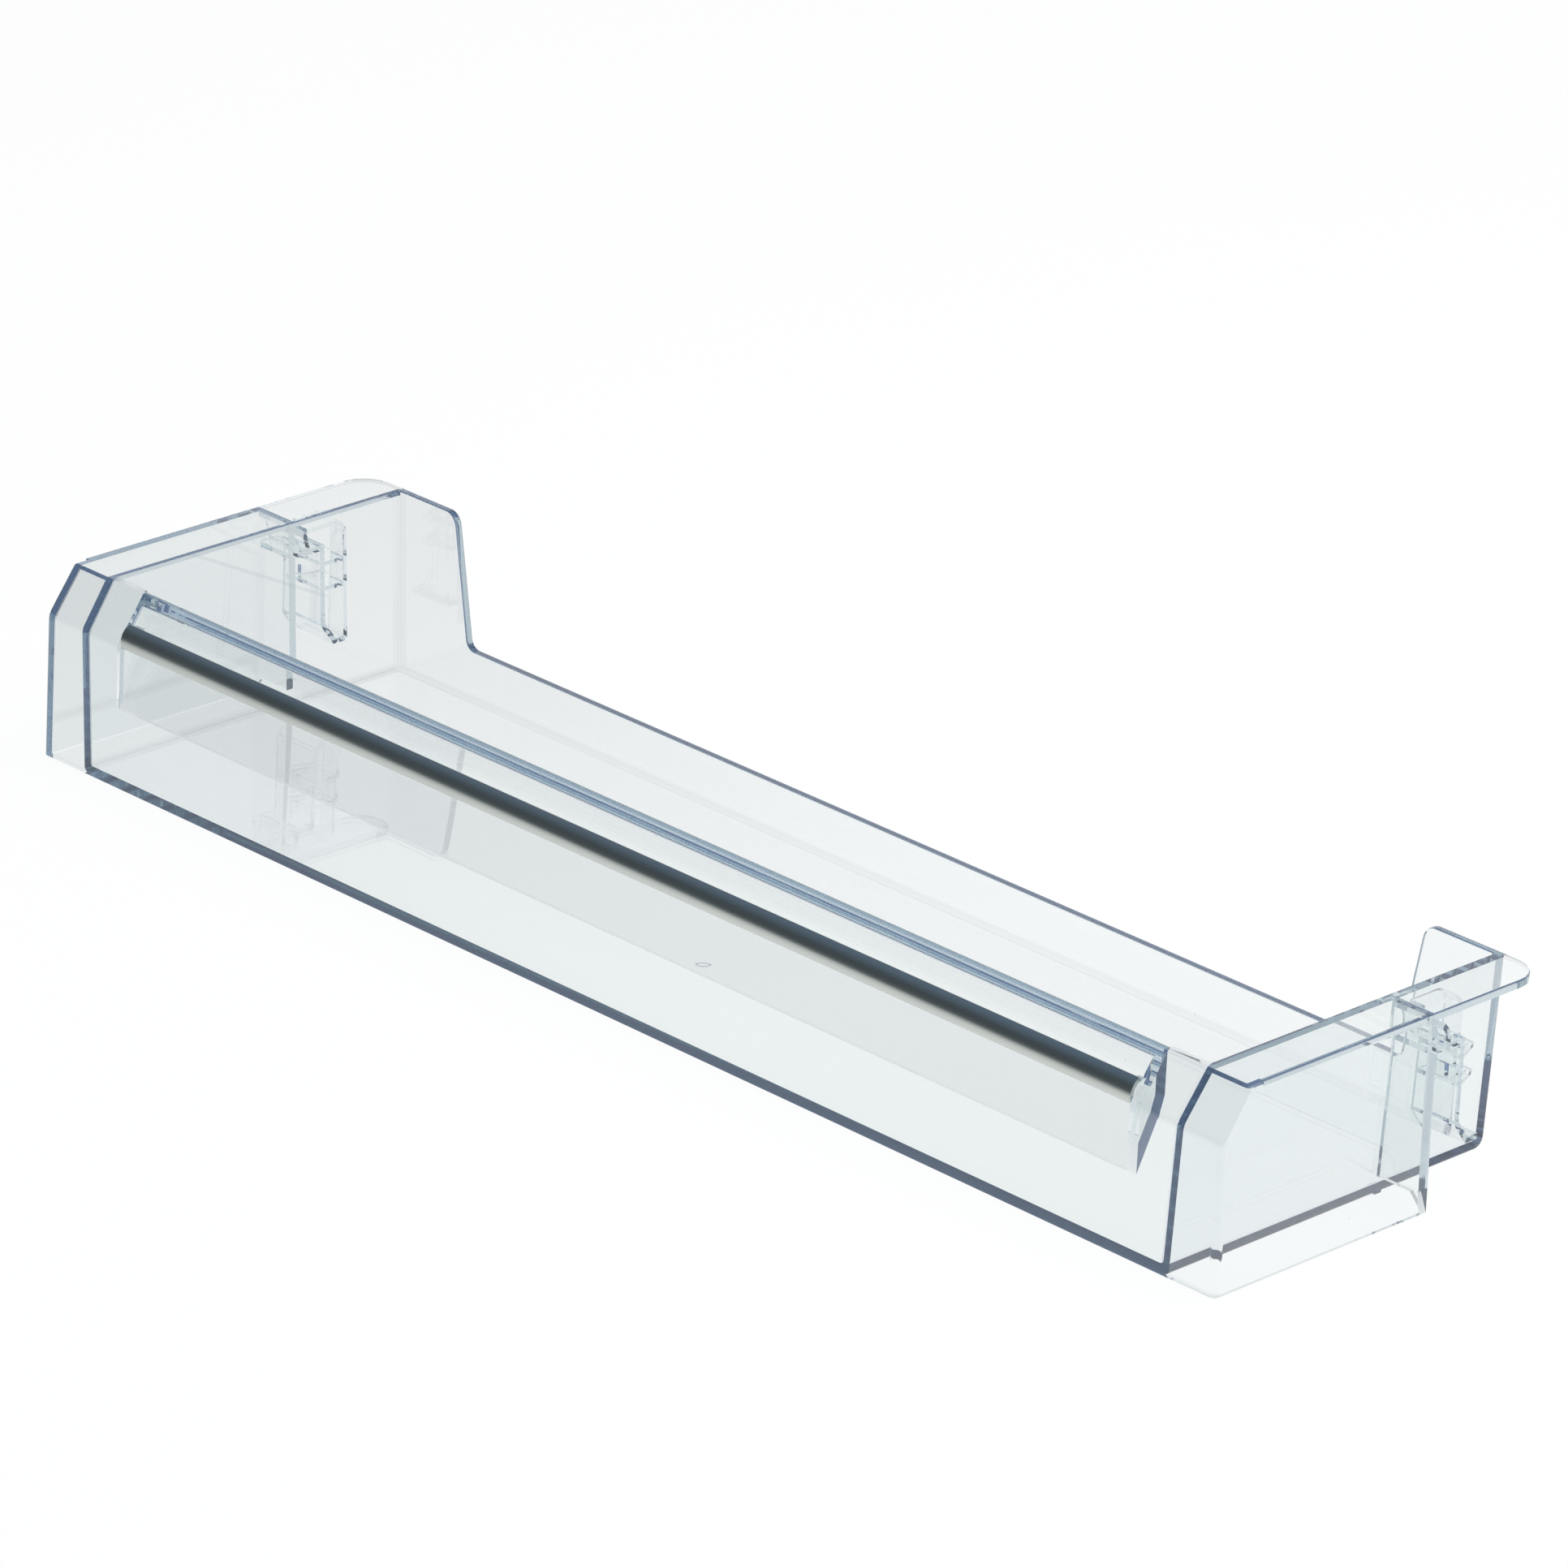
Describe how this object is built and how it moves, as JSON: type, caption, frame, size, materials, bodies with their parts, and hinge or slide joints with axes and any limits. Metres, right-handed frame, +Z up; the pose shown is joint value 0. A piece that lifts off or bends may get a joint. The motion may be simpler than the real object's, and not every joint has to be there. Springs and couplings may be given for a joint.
{
  "type": "fridge door shelf",
  "caption": "Clear moulded door shelf for a refrigerator, with a leaning front rim, a metal trim strip set in its front, and end wings with hook ribs that hang it on the door.",
  "frame": {"origin": "under the middle of the shelf, at the height of its foot", "axes": "+X along the shelf to the right hand seen from the front, -Y out of the front wall, +Z up"},
  "size_m": [0.4642, 0.124, 0.0575],
  "materials": {
    "clear_plastic": "clear, polished, faintly blue-grey",
    "trim_metal": "satin"
  },
  "bodies": {
    "root": {"tray": "clear_plastic", "trim_strip": "trim_metal"}
  },
  "joints": []
}
